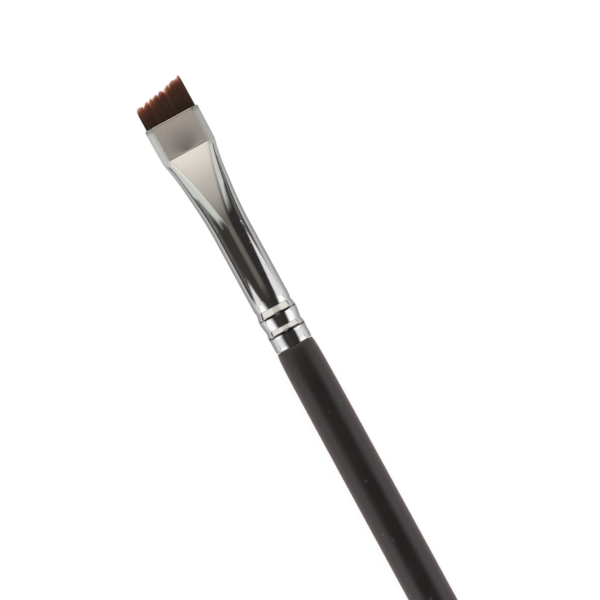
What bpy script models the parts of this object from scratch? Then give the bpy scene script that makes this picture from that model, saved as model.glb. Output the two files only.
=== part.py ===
# Angled brow brush: a slanted tuft of short filaments in a pressed, chromed ferrule on a turned wooden handle.
#
# Lengths are in metres. The brush lies along X with its tip towards +X, its flattened faces look up and down,
# and its grip touches z = 0. Each piece is modelled on the brush's own axis, in the space of one empty: there
# +Z runs to the tip from the ferrule's mouth at zero, X is the width and Y the thickness. A place called behind
# is a distance from the mouth towards the handle's tail.
import math
import random

import bmesh
import bpy
from mathutils import Matrix

# Ferrule: a round tube whose mouth is pressed flat
FERRULE_LENGTH = 0.0400
FERRULE_RADIUS = 0.00305
FERRULE_WALL = 0.0003
FLAT_LENGTH = 0.0057
FLAT_HALF_THICKNESS = 0.00085
MOUTH_HALF_WIDTH = 0.004635
CREASE_HALF_WIDTH = 0.00433
MOUTH_PANEL_HALF_WIDTH = 0.00368
CREASE_PANEL_HALF_WIDTH = 0.00345
FACET_LENGTH = 0.0136
RAMP_LENGTH = 0.0109
RAMP_SOFTNESS = 0.00036
FLARE_REACH = 0.0063
FLARE_POWER = 1.14
FACET_POWER = 1.15
MOUTH_CURVE_POWER = 2.5

# Crimps: two rolled grooves near the ferrule's end, each with a slope that climbs out of it to a ridge
FRONT_GROOVE_FROM_END = 0.0069
FRONT_GROOVE_DEPTH = 0.00015
FRONT_GROOVE_LEAD = 0.0011
FRONT_SLOPE_LENGTH = 0.00126
FRONT_RIDGE_RISE = 0.00012
FRONT_RIDGE_LAND = 0.0007
REAR_GROOVE_FROM_END = 0.0035
REAR_GROOVE_DEPTH = 0.0001
REAR_SLOPE_LENGTH = 0.0009
END_LIP_LENGTH = 0.0004
END_LIP_DROP = 0.00006

# Handle: its shoulder rounds out to a straight grip, which tapers to a slim round tail
HANDLE_LENGTH = 0.1300
SHOULDER_RADIUS = 0.00295
SHOULDER_REACH = 0.00135
SHOULDER_POWER = 0.6
GRIP_RADIUS = 0.00337
GRIP_START = 0.0120
GRIP_END = 0.0550
TAIL_RADIUS = 0.0021
TAIL_ROUND_LENGTH = 0.0018
TAPER_POWER = 1.25
TENON_LENGTH = 0.0150
TENON_CHAMFER = 0.0004

# Tuft: parallel filaments cut off at a slant, over the bonded slice of their roots
LONG_BRISTLE = 0.0053
SHORT_BRISTLE = 0.0036
FILAMENT_PITCH = 0.000153
FILAMENT_ROOT_RADIUS = 0.000066
FILAMENT_TIP_RADIUS = 0.00003
FILAMENT_SINK = 0.00012
FILAMENT_STRAY = 0.000008
FILAMENT_SIDES = 3
MOUTH_RECESS = 0.0003
ROOT_SLICE_DEPTH = 0.0050
TUFT_THINNING_SHARE = 0.84
CLUMP_WIDTH = 0.00062
CLUMP_DROP = 0.00026
FILAMENT_DROP = 0.00012
SEED = 7

# Glue: the cast plug behind the roots and the film round the tenon
ROOT_GLUE_DEPTH = 0.0036
GLUE_FILM = 0.00006
GLUE_SETBACK = 0.0005

# Clearances
JOINT_GAP = 0.00005
BUTT_GAP = 0.0001

# Facets. The count leaves 2 over when divided by 4, so a flat side faces up and down and a corner faces sideways
ROUND_SIDES = 30
MERGE_DISTANCE = 0.000001
SMOOTH_ANGLE = math.radians(28)

# Where sections are cut, as shares of the ferrule from its crease to its first crimp
TRANSITION_SHARES = (0.03, 0.07, 0.115, 0.165, 0.225, 0.3, 0.385, 0.49, 0.62, 0.8)
MOUTH_CURVE_SHARES = (0, 0.6)
# Where the handle's outline is cut, as shares of its shoulder and of its taper
SHOULDER_SHARES = (0, 0.04, 0.09, 0.18, 0.36, 0.62)
TAPER_SHARES = (0.12, 0.25, 0.38, 0.52, 0.66, 0.8, 0.92, 1)
TAIL_STEPS = 5

TOTAL_LENGTH = LONG_BRISTLE + FERRULE_LENGTH + BUTT_GAP + HANDLE_LENGTH
MOUTH_X = TOTAL_LENGTH / 2 - LONG_BRISTLE
AXIS_HEIGHT = GRIP_RADIUS * math.cos(math.pi / ROUND_SIDES)
FRONT_GROOVE = FERRULE_LENGTH - FRONT_GROOVE_FROM_END
REAR_GROOVE = FERRULE_LENGTH - REAR_GROOVE_FROM_END
FIRST_CRIMP = FRONT_GROOVE - FRONT_GROOVE_LEAD
TENON_FRONT = FERRULE_LENGTH - TENON_LENGTH
GROOVE_BORE_RADIUS = FERRULE_RADIUS - max(FRONT_GROOVE_DEPTH, REAR_GROOVE_DEPTH) - FERRULE_WALL
TENON_RADIUS = GROOVE_BORE_RADIUS - GLUE_FILM - 2 * JOINT_GAP
BORE_INSET = FERRULE_WALL + JOINT_GAP
SLICE_FRONT = MOUTH_RECESS
SLICE_BACK = MOUTH_RECESS + ROOT_SLICE_DEPTH


# Scene, collections, materials


def clear_scene():
    for old in list(bpy.data.objects):
        bpy.data.objects.remove(old, do_unlink=True)


def new_collection(name):
    collection = bpy.data.collections.new(name)
    bpy.context.scene.collection.children.link(collection)
    return collection


def new_material(name, color, roughness, metallic=0.0):
    material = bpy.data.materials.new(name)
    material.use_nodes = True
    shader = material.node_tree.nodes["Principled BSDF"]
    shader.inputs["Base Color"].default_value = (*color, 1)
    shader.inputs["Roughness"].default_value = roughness
    shader.inputs["Metallic"].default_value = metallic
    return material


def new_axis(collection):
    """The empty on the ferrule's mouth that every piece hangs from. Its Z runs along the world's X."""
    axis = bpy.data.objects.new("brush_axis", None)
    axis.location = (MOUTH_X, 0, AXIS_HEIGHT)
    axis.rotation_euler = (math.radians(90), 0, math.radians(90))
    collection.objects.link(axis)
    return axis


def new_piece(name, bm, collection, axis, material):
    mesh = bpy.data.meshes.new(name)
    bm.to_mesh(mesh)
    bm.free()
    mesh.materials.append(material)
    mesh.shade_smooth()
    mesh.set_sharp_from_angle(angle=SMOOTH_ANGLE)
    piece = bpy.data.objects.new(name, mesh)
    piece.parent = axis
    collection.objects.link(piece)
    return piece


# The ferrule's form, which everything inside it follows


def mix(start, end, share):
    return start + (end - start) * share


def crimp_outline():
    """(place behind the mouth, outer radius) along the round end, from the first groove's lead to the end."""
    ridge = FERRULE_RADIUS + FRONT_RIDGE_RISE
    return [
        (FIRST_CRIMP, FERRULE_RADIUS),
        (FRONT_GROOVE, FERRULE_RADIUS - FRONT_GROOVE_DEPTH),
        (FRONT_GROOVE + FRONT_SLOPE_LENGTH, ridge),
        (FRONT_GROOVE + FRONT_SLOPE_LENGTH + FRONT_RIDGE_LAND, ridge),
        (REAR_GROOVE, FERRULE_RADIUS - REAR_GROOVE_DEPTH),
        (REAR_GROOVE + REAR_SLOPE_LENGTH, FERRULE_RADIUS),
        (FERRULE_LENGTH - END_LIP_LENGTH, FERRULE_RADIUS),
        (FERRULE_LENGTH, FERRULE_RADIUS - END_LIP_DROP),
    ]


def tube_radius(behind):
    """The outer radius that the round tube has there, crimps included."""
    outline = crimp_outline()
    if behind <= outline[0][0]:
        return FERRULE_RADIUS
    for (start, radius), (end, next_radius) in zip(outline, outline[1:]):
        if behind <= end:
            return mix(radius, next_radius, (behind - start) / (end - start))
    return outline[-1][1]


def ferrule_size(behind):
    """Half width, half thickness and the flat panel's half width of the outer skin at a place behind the mouth."""
    if behind <= FLAT_LENGTH:
        share = behind / FLAT_LENGTH
        width = mix(MOUTH_HALF_WIDTH, CREASE_HALF_WIDTH, share**MOUTH_CURVE_POWER)
        panel = mix(MOUTH_PANEL_HALF_WIDTH, CREASE_PANEL_HALF_WIDTH, share)
        return width, FLAT_HALF_THICKNESS, panel
    past = behind - FLAT_LENGTH
    tube = tube_radius(behind)
    width = tube + (CREASE_HALF_WIDTH - tube) * math.exp(-((past / FLARE_REACH) ** FLARE_POWER))
    ramp = mix(FLAT_HALF_THICKNESS, tube, past / RAMP_LENGTH)
    height = tube - RAMP_SOFTNESS * math.log1p(math.exp((tube - ramp) / RAMP_SOFTNESS))
    panel = CREASE_PANEL_HALF_WIDTH * max(0, 1 - past / FACET_LENGTH) ** FACET_POWER
    return width, height, panel


def section(behind, inset=0):
    """The corners of one section, anticlockwise seen from the tip: a flat panel between two quarter ellipses."""
    width, height, panel = ferrule_size(behind)
    corners = []
    for side in range(ROUND_SIDES):
        angle = 2 * math.pi * side / ROUND_SIDES
        shift = math.copysign(panel, math.cos(angle))
        across = shift + (width - inset - panel) * math.cos(angle)
        up = (height - inset) * math.sin(angle)
        corners.append((across, up, -behind))
    return corners


def loft(sections, capped):
    """Skins a run of sections that goes from the tip towards the tail."""
    bm = bmesh.new()
    rings = [[bm.verts.new(corner) for corner in corners] for corners in sections]
    for upper, lower in zip(rings, rings[1:]):
        for this in range(ROUND_SIDES):
            after = (this + 1) % ROUND_SIDES
            bm.faces.new((upper[this], lower[this], lower[after], upper[after]))
    if capped:
        bm.faces.new(rings[0])
        bm.faces.new(reversed(rings[-1]))
    return bm


def transition_places():
    return [mix(FLAT_LENGTH, FIRST_CRIMP, share) for share in TRANSITION_SHARES]


def outline_to_mesh(points, closed):
    """A turned piece's outline in the XZ plane, as (radius, place behind the mouth), from its front to its tail."""
    bm = bmesh.new()
    corners = [bm.verts.new((radius, 0, -behind)) for radius, behind in points]
    for start, end in zip(corners, corners[1:]):
        bm.edges.new((start, end))
    if closed:
        bm.edges.new((corners[-1], corners[0]))
    return bm


def turn(piece):
    """Spins an outline about the brush's axis."""
    screw = piece.modifiers.new("turned", "SCREW")
    screw.axis = "Z"
    screw.steps = ROUND_SIDES
    screw.render_steps = ROUND_SIDES
    screw.use_merge_vertices = True
    screw.merge_threshold = MERGE_DISTANCE


# Pieces


def make_ferrule(collection, axis):
    mouth = [FLAT_LENGTH * share for share in MOUTH_CURVE_SHARES]
    crimps = [place for place, radius in crimp_outline()]
    places = mouth + [FLAT_LENGTH] + transition_places() + crimps
    bm = loft([section(place) for place in places], capped=False)
    chrome = new_material("chrome", (0.80, 0.79, 0.78), 0.12, 1.0)
    ferrule = new_piece("ferrule", bm, collection, axis, chrome)
    wall = ferrule.modifiers.new("wall", "SOLIDIFY")
    wall.thickness = FERRULE_WALL
    wall.offset = -1
    wall.use_even_offset = True


def handle_radius(behind):
    """The lacquered body's radius at a distance behind its shoulder."""
    if behind < GRIP_START:
        return GRIP_RADIUS - (GRIP_RADIUS - SHOULDER_RADIUS) * math.exp(-((behind / SHOULDER_REACH) ** SHOULDER_POWER))
    taper = max(0, behind - GRIP_END) / (HANDLE_LENGTH - GRIP_END)
    return mix(GRIP_RADIUS, TAIL_RADIUS, taper**TAPER_POWER)


def handle_places():
    """Distances behind the shoulder at which the outline has a corner, up to where the tail's round begins."""
    shoulder = [GRIP_START * share for share in SHOULDER_SHARES]
    tail = HANDLE_LENGTH - TAIL_ROUND_LENGTH
    taper = [mix(GRIP_END, tail, share) for share in TAPER_SHARES]
    return [*shoulder, GRIP_START, GRIP_END, *taper]


def make_handle(collection, axis):
    outline = [
        (0, TENON_FRONT),
        (TENON_RADIUS - TENON_CHAMFER, TENON_FRONT),
        (TENON_RADIUS, TENON_FRONT + TENON_CHAMFER),
    ]
    face = FERRULE_LENGTH + BUTT_GAP
    outline.append((TENON_RADIUS, face))
    outline += [(handle_radius(place), face + place) for place in handle_places()]
    tail = HANDLE_LENGTH - TAIL_ROUND_LENGTH
    for step in range(1, TAIL_STEPS + 1):
        angle = math.pi / 2 * step / TAIL_STEPS
        radius = handle_radius(tail) * math.cos(angle) if step < TAIL_STEPS else 0
        outline.append((radius, face + tail + TAIL_ROUND_LENGTH * math.sin(angle)))
    lacquer = new_material("black_lacquer", (0.019, 0.016, 0.016), 0.55)
    turn(new_piece("handle", outline_to_mesh(outline, closed=False), collection, axis, lacquer))


def make_tenon_glue(collection, axis):
    front = TENON_FRONT + TENON_CHAMFER
    back = FERRULE_LENGTH - GLUE_SETBACK
    bends = [place for place in transition_places() if place > front]
    bends += [place for place, radius in crimp_outline() if place < back]
    outer = [front, *bends, back]
    outline = [(ferrule_size(place)[1] - BORE_INSET, place) for place in outer]
    outline += [(TENON_RADIUS + JOINT_GAP, place) for place in (back, front)]
    glue = new_material("tenon_glue", (0.60, 0.52, 0.36), 0.35)
    turn(new_piece("tenon_glue", outline_to_mesh(outline, closed=True), collection, axis, glue))


def make_root_glue(collection, axis):
    front = SLICE_BACK + BUTT_GAP
    back = front + ROOT_GLUE_DEPTH
    bends = [place for place in [FLAT_LENGTH, *transition_places()] if front < place < back]
    sections = [section(place, BORE_INSET) for place in [front, *bends, back]]
    glue = new_material("root_glue", (0.55, 0.42, 0.22), 0.3)
    new_piece("root_glue", loft(sections, capped=True), collection, axis, glue)


def filament_spots():
    """Filament places over the root slice: rows half a pitch apart in turn, inside its rounded outline."""
    width, height, panel = ferrule_size(SLICE_FRONT)
    edge = FILAMENT_ROOT_RADIUS + JOINT_GAP / 2
    width -= BORE_INSET + edge
    height -= BORE_INSET + edge
    row_pitch = FILAMENT_PITCH * math.sqrt(3) / 2
    rows = int(2 * height / row_pitch) + 1
    columns = int(width / FILAMENT_PITCH) + 1
    spots = []
    for row in range(rows):
        up = (row - (rows - 1) / 2) * row_pitch
        for column in range(-columns, columns + 1):
            across = (column + (row % 2) / 2) * FILAMENT_PITCH
            past = max(0, abs(across) - panel) / (width - panel)
            if past**2 + (up / height) ** 2 <= 1:
                spots.append((across, up))
    return spots


def make_filaments(guides, axis, material):
    """The filaments, each a slim three-sided spike that leans in a little and ends at the slanted cut."""
    rng = random.Random(SEED)
    spots = filament_spots()
    reach = max(abs(across) for across, up in spots)
    clumps = [rng.random() for clump in range(2 + int(2 * reach / CLUMP_WIDTH))]
    bm = bmesh.new()
    for across, up in spots:
        toward_short = (across + reach) / (2 * reach)
        cut = mix(LONG_BRISTLE, SHORT_BRISTLE, toward_short)
        clump = clumps[int((across + reach) / CLUMP_WIDTH)]
        tip = cut - (CLUMP_DROP * clump + FILAMENT_DROP * rng.random()) * math.sin(math.pi * toward_short)
        root = -(SLICE_FRONT + FILAMENT_SINK)
        stray = [FILAMENT_STRAY * rng.uniform(-1, 1) for direction in "xy"]
        place = Matrix.Translation((across + stray[0], up + stray[1], (tip + root) / 2))
        made = bmesh.ops.create_cone(
            bm,
            cap_ends=True,
            segments=FILAMENT_SIDES,
            radius1=FILAMENT_ROOT_RADIUS,
            radius2=FILAMENT_TIP_RADIUS,
            depth=tip - root,
            matrix=place @ Matrix.Rotation(rng.uniform(0, math.pi), 4, "Z"),
        )["verts"]
        ends = [vert for vert in made if vert.co.z > 0]
        bmesh.ops.translate(bm, verts=ends, vec=(0, -up * (1 - TUFT_THINNING_SHARE), 0))
    filaments = new_piece("filaments", bm, guides, axis, material)
    filaments.hide_render = True
    filaments.display_type = "WIRE"
    return filaments, len(spots)


def make_bristle_tuft(collection, guides, axis):
    brown = new_material("bristle_brown", (0.045, 0.018, 0.012), 0.5)
    middle = FLAT_LENGTH * MOUTH_CURVE_SHARES[-1]
    bends = [place for place in [middle, FLAT_LENGTH, *transition_places()] if place < SLICE_BACK]
    sections = [section(place, BORE_INSET) for place in [SLICE_FRONT, *bends, SLICE_BACK]]
    tuft = new_piece("bristle_tuft", loft(sections, capped=True), collection, axis, brown)
    filaments, count = make_filaments(guides, axis, brown)
    join = tuft.modifiers.new("filaments", "BOOLEAN")
    join.operation = "UNION"
    join.solver = "EXACT"
    join.object = filaments
    print("filaments:", count)


def main():
    clear_scene()
    collection = new_collection("angled_brow_brush")
    guides = new_collection("cutters")
    axis = new_axis(collection)
    make_handle(collection, axis)
    make_ferrule(collection, axis)
    make_tenon_glue(collection, axis)
    make_root_glue(collection, axis)
    make_bristle_tuft(collection, guides, axis)


main()
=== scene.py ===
import math
import random

import bmesh
import bpy
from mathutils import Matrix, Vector


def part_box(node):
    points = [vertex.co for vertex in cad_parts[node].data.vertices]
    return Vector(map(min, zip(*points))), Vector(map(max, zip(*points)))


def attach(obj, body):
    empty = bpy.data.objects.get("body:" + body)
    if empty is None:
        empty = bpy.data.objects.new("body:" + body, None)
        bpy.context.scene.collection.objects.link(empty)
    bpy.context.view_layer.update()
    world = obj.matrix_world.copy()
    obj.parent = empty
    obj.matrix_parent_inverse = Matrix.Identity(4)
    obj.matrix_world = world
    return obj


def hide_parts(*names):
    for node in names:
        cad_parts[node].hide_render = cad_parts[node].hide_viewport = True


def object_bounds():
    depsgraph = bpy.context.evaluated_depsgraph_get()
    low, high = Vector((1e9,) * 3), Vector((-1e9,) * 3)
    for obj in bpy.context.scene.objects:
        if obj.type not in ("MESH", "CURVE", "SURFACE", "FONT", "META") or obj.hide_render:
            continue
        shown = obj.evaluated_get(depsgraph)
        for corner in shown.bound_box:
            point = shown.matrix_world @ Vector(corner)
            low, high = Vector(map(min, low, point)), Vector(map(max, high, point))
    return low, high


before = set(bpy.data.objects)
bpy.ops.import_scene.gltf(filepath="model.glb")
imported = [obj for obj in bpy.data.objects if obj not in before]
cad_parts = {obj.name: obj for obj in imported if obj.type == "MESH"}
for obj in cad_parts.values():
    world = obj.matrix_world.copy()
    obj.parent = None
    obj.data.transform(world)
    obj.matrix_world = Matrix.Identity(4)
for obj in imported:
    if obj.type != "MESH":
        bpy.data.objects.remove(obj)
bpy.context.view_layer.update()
ferruleLow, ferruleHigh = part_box("ferrule")
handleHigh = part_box("handle")[1]
rimProud = 0.00015  # the rolled rim stands a little proud of the plain CAD edge
mouthX = ferruleHigh.x + rimProud
axisZ = (ferruleLow.z + ferruleHigh.z) / 2
sameRing = 5e-7  # corners closer than this along the brush stand in one ring
sameColumn = 2e-7  # and closer than this across it or up, in one column or level
print("frame loaded, mouth at", round(mouthX, 5), "axis at", round(axisZ, 5))


def setMode(mode):
    bpy.ops.object.mode_set(mode=mode)


def deselectAll():
    if bpy.context.mode != "OBJECT":
        setMode("OBJECT")
    bpy.ops.object.select_all(action="DESELECT")


def takeUp(piece):
    deselectAll()
    piece.select_set(True)
    bpy.context.view_layer.objects.active = piece


def mix(start, end, share):
    return start + (end - start) * share


def limit(share):
    return min(1, max(0, share))


def softStep(share):
    share = limit(share)
    return share * share * (3 - 2 * share)


def evenSteps(start, end, count):
    return [mix(start, end, (k + 1) / count) for k in range(count)]


def selectAll(kind="EDGE"):
    bpy.ops.mesh.select_mode(type=kind)
    bpy.ops.mesh.select_all(action="SELECT")


def newRing(name, x, radius, corners, z=axisZ, fill="NOTHING"):
    # a circle standing square to the brush, left in edit mode, all selected
    deselectAll()
    bpy.ops.mesh.primitive_circle_add(
        vertices=corners, radius=radius, fill_type=fill, location=(x, 0, z), rotation=(0, math.radians(90), 0)
    )
    ring = bpy.context.object
    ring.name = name
    ring.data.name = name
    bpy.ops.object.transform_apply(location=True, rotation=True, scale=True)
    setMode("EDIT")
    selectAll()
    return ring


def nearX(*places):
    # a test for corners that stand at one of these places along the brush
    return lambda co: min(abs(co.x - place) for place in places) < sameRing


def shapeInHand():
    return bmesh.from_edit_mesh(bpy.context.object.data)


def isOutside(edge):
    # one of the edge's faces looks away from the brush's axis
    outward = Vector((0, edge.verts[0].co.y, edge.verts[0].co.z - axisZ))
    return any(abs(face.normal.x) < 0.5 and face.normal.dot(outward) > 0 for face in edge.link_faces)


def selectEdges(test, onlyOutside=False):
    # the edges that have both ends where the test says, or only those beside a face on the outside
    bpy.ops.mesh.select_mode(type="EDGE")
    bpy.ops.mesh.select_all(action="DESELECT")
    bm = shapeInHand()
    for edge in bm.edges:
        if all(test(corner.co) for corner in edge.verts) and (not onlyOutside or isOutside(edge)):
            edge.select_set(True)
    bmesh.update_edit_mesh(bpy.context.object.data)


def selectCorners(test):
    bpy.ops.mesh.select_mode(type="VERT")
    bpy.ops.mesh.select_all(action="DESELECT")
    bm = shapeInHand()
    for corner in bm.verts:
        if test(corner.co):
            corner.select_set(True)
    bm.select_flush_mode()
    bmesh.update_edit_mesh(bpy.context.object.data)


def stepRing(x, step, sideways, upright):
    # pulls a new ring out of the selected one, then narrows or widens it about the brush's axis
    bpy.ops.mesh.extrude_region_move(TRANSFORM_OT_translate={"value": (step, 0, 0)})
    bpy.ops.transform.resize(value=(1, sideways, upright), center_override=(x + step, 0, axisZ))
    return x + step


def closeShape():
    # merges doubles, turns all faces outwards, checked by the topmost one, and leaves edit mode
    bpy.ops.mesh.select_all(action="SELECT")
    bpy.ops.mesh.remove_doubles(threshold=sameRing)
    bpy.ops.mesh.normals_make_consistent(inside=False)
    bm = shapeInHand()
    top = max(bm.faces, key=lambda face: face.calc_center_median().z)
    if top.normal.z < 0:
        bpy.ops.mesh.flip_normals()
    setMode("OBJECT")


def smoothUnder(degrees):
    bpy.ops.object.shade_smooth_by_angle(angle=math.radians(degrees))


def applyModifier(piece, kind, **values):
    modifier = piece.modifiers.new(kind.lower(), kind)
    for key, value in values.items():
        setattr(modifier, key, value)
    takeUp(piece)
    bpy.ops.object.modifier_apply(modifier=modifier.name)


def finishPiece(piece, node, material):
    piece.data.materials.clear()
    piece.data.materials.append(material)
    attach(piece, "root")
    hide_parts(node)


def fillIn(tree, node, inputs):
    # each input gets a number, a colour or a vector, or takes its value from another node's socket
    for key, value in inputs.items():
        socket = node.inputs[key]
        if isinstance(value, bpy.types.NodeSocket):
            tree.links.new(value, socket)
        elif socket.type == "RGBA":
            socket.default_value = (*value, 1)
        else:
            socket.default_value = value


def addNode(tree, kind, inputs=None, **settings):
    # the nodes are laid out in rows of eight
    node = tree.nodes.new("ShaderNode" + kind)
    row, column = divmod(len(tree.nodes) - 1, 8)
    node.location = (column * 220, -row * 300)
    for key, value in settings.items():
        setattr(node, key, value)
    fillIn(tree, node, inputs or {})
    return node


def emptyTree(owner):
    owner.use_nodes = True
    owner.node_tree.nodes.clear()
    return owner.node_tree


def newMaterial(name):
    material = bpy.data.materials.new(name)
    tree = emptyTree(material)
    coords = addNode(tree, "TexCoord").outputs["Object"]
    shader = addNode(tree, "BsdfPrincipled")
    addNode(tree, "OutputMaterial", {"Surface": shader.outputs["BSDF"]})
    return material, tree, shader, coords


def mathNode(tree, operation, *values):
    return addNode(tree, "Math", dict(enumerate(values)), operation=operation).outputs["Value"]


def multiply(tree, product, *others):
    for other in others:
        product = mathNode(tree, "MULTIPLY", product, other)
    return product


def rangeNode(tree, value, start, end, low=0.0, high=1.0, form="LINEAR"):
    # goes from low to high while the value goes from start to end, and stays level outside them
    inputs = {"Value": value, "From Min": start, "From Max": end, "To Min": low, "To Max": high}
    return addNode(tree, "MapRange", inputs, interpolation_type=form).outputs["Result"]


def stepNode(tree, value, edges, low=0.0, high=1.0):
    return rangeNode(tree, value, *edges, low, high, "SMOOTHSTEP")


def angleNode(tree, value, edges, low=0.0, high=1.0, form="SMOOTHSTEP"):
    # the same for an angle, with its edges in degrees
    return rangeNode(tree, value, *map(math.radians, edges), low, high, form)


def layerNode(tree, mask, under, over, kind="RGBA", blend="MIX"):
    inputs = {"Factor": mask, "A": under, "B": over}
    return addNode(tree, "Mix", inputs, data_type=kind, blend_type=blend).outputs["Result"]


def rampNode(tree, value, stops):
    ramp = addNode(tree, "ValToRGB", {"Fac": value})
    elements = ramp.color_ramp.elements
    while len(elements) < len(stops):
        elements.new(0.5)
    for element, (position, color) in zip(elements, stops):
        element.position = position
        element.color = (*color, 1)
    return ramp.outputs["Color"]


def tintNode(tree, value, tints):
    return rampNode(tree, value, list(enumerate(tints)))


def noiseNode(tree, vector, scale, detail, roughness=0.5):
    inputs = {"Vector": vector, "Scale": scale, "Detail": detail, "Roughness": roughness}
    return addNode(tree, "TexNoise", inputs).outputs["Fac"]


def reliefNode(tree, height, strength, distance, invert=False):
    inputs = {"Height": height, "Strength": strength, "Distance": distance}
    return addNode(tree, "Bump", inputs, invert=invert).outputs["Normal"]


def splitAxes(tree, vector):
    parts = addNode(tree, "SeparateXYZ", {"Vector": vector})
    return [parts.outputs[axis] for axis in "XYZ"]


def newGroup(name, result, **inputs):
    # a finish group: it reads a vector and the named values, and puts out one value
    group = bpy.data.node_groups.new(name, "ShaderNodeTree")
    group.interface.new_socket("Vector", in_out="INPUT", socket_type="NodeSocketVector")
    for label, value in inputs.items():
        socket = group.interface.new_socket(label, in_out="INPUT", socket_type="NodeSocketFloat")
        socket.default_value = value
    group.interface.new_socket(result, in_out="OUTPUT", socket_type="NodeSocketFloat")
    given = group.nodes.new("NodeGroupInput").outputs
    end = group.nodes.new("NodeGroupOutput")
    end.location = (0, 300)
    return group, given, end.inputs[result]


def addGroup(tree, group, coords, **values):
    return addNode(tree, "Group", {"Vector": coords, **values}, node_tree=group).outputs[0]


finishes = {
    "mottleDetail": (3.0, 0.55),
    "mottleSpread": (0.3, 0.7),  # the stretch of the noise that goes from low to high
    "scuffStretch": (90, 5200, 5200),  # hairlines are long along X
    "scuffDetail": 2.0,
    "scuffEdges": (0.66, 0.74),
    "scuffPatches": (420.0, 2.0),
    "scuffPatchEdges": (0.48, 0.6),
    "speckEdges": (0.32, 0.18),
}


def makeMottleGroup():
    # soft, cloudy unevenness: what handling and polishing leave on any finish
    group, given, result = newGroup("softMottle", "Value", Size=300.0, Low=0.0, High=1.0)
    noise = noiseNode(group, given["Vector"], given["Size"], *finishes["mottleDetail"])
    spread = rangeNode(group, noise, *finishes["mottleSpread"], given["Low"], given["High"])
    group.links.new(spread, result)
    return group


def makeScuffGroup():
    # fine lengthwise hairlines, broken up so that they come and go
    group, given, result = newGroup("lengthwiseScuffs", "Mask", Fineness=1.0, Amount=0.5)
    stretch = addNode(group, "Mapping", {"Vector": given["Vector"], "Scale": finishes["scuffStretch"]})
    hairs = noiseNode(group, stretch.outputs["Vector"], given["Fineness"], finishes["scuffDetail"])
    patches = noiseNode(group, given["Vector"], *finishes["scuffPatches"])
    sharp = rangeNode(group, hairs, *finishes["scuffEdges"])
    kept = rangeNode(group, patches, *finishes["scuffPatchEdges"])
    group.links.new(multiply(group, sharp, kept, given["Amount"]), result)
    return group


def makeSpeckGroup():
    # dust and pinpricks: small round spots, few and far between
    group, given, result = newGroup("dustSpecks", "Mask", Spacing=2500.0, Share=0.06)
    cells = addNode(group, "TexVoronoi", {"Vector": given["Vector"], "Scale": given["Spacing"]})
    spot = rangeNode(group, cells.outputs["Distance"], *finishes["speckEdges"])
    pick = addNode(group, "SeparateColor", {"Color": cells.outputs["Color"]}).outputs["Red"]
    chosen = mathNode(group, "LESS_THAN", pick, given["Share"])
    group.links.new(multiply(group, spot, chosen), result)
    return group


mottleGroup = makeMottleGroup()
scuffGroup = makeScuffGroup()
speckGroup = makeSpeckGroup()
print("finish groups ready")


ferrule = {
    "corners": 98,  # round the tube: 2 over a multiple of 4, so that a flat side faces up
    "panelCuts": 13,  # extra corners across each flat panel
    "wall": 0.0002,
    "tubeRadius": 0.00309,
    "flatLength": 0.0058,
    "flatHalfHeight": 0.00085,
    "mouthHalfWidth": 0.004625,
    "creaseHalfWidth": 0.00455,
    "mouthPanel": 0.00340,
    "squareness": 1.6,  # 2 is a plain ellipse, 1 a straight chamfer
    "facetLength": 0.0134,
    "facetEase": 1.4,  # above 1 the facet's two edges curve in towards the tube
    "rampEndSlope": 0.052,  # the facet still rises this steeply where it runs out
    "rampPower": 1.82,
    "flareReach": 0.0056,
    "flarePower": 1.05,
    "flareFades": (0.0070, 0.0136),
    "flareFadePower": 1.3,
    "flatRings": 22,
    "facetRings": 44,
    "tubeRings": 26,
    "creaseBevel": 0.00010,
    "dishDepth": 0.000046,  # the press leaves a shallow dish in each panel, deepest at the crease
    "dishReach": 0.0055,
    "dishWidth": 0.0006,
    "crimpLeadIn": 0.0002,
    "crimpStep": 0.00007,
    "crimpRounding": 0.00010,
    "lipBevel": 0.00011,
    "bevelSteps": 3,
    "smoothAngle": 40,
}
# (place behind the mouth, outer radius) down the crimped end
crimps = [
    (0.0319, 0.00309),
    (0.0323, 0.0030893),
    (0.0325, 0.003087),
    (0.0327, 0.003078),
    (0.0329, 0.003060),
    (0.0331, 0.003017),
    (0.0333, 0.002970),
    (0.03338, 0.002958),
    (0.03438, 0.00319),
    (0.03480, 0.003205),
    (0.03525, 0.003200),
    (0.03635, 0.003015),
    (0.03660, 0.002958),
    (0.03667, 0.002945),
    (0.03738, 0.00312),
    (0.03784, 0.003138),
    (0.03799, 0.00308),
    (0.0398, 0.00309),
    (0.04015, 0.00302),
]


def sharpTubeRadius(behind):
    if behind <= crimps[0][0]:
        return crimps[0][1]
    for (start, radius), (end, nextRadius) in zip(crimps, crimps[1:]):
        if behind <= end:
            return mix(radius, nextRadius, (behind - start) / (end - start))
    return crimps[-1][1]


def tubeRadius(behind):
    # the crimps with their corners rounded over: an average along a short stretch
    spread = ferrule["crimpRounding"]
    samples = [sharpTubeRadius(behind + spread * k / 4) for k in range(-4, 5)]
    return sum(samples) / len(samples)


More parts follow.
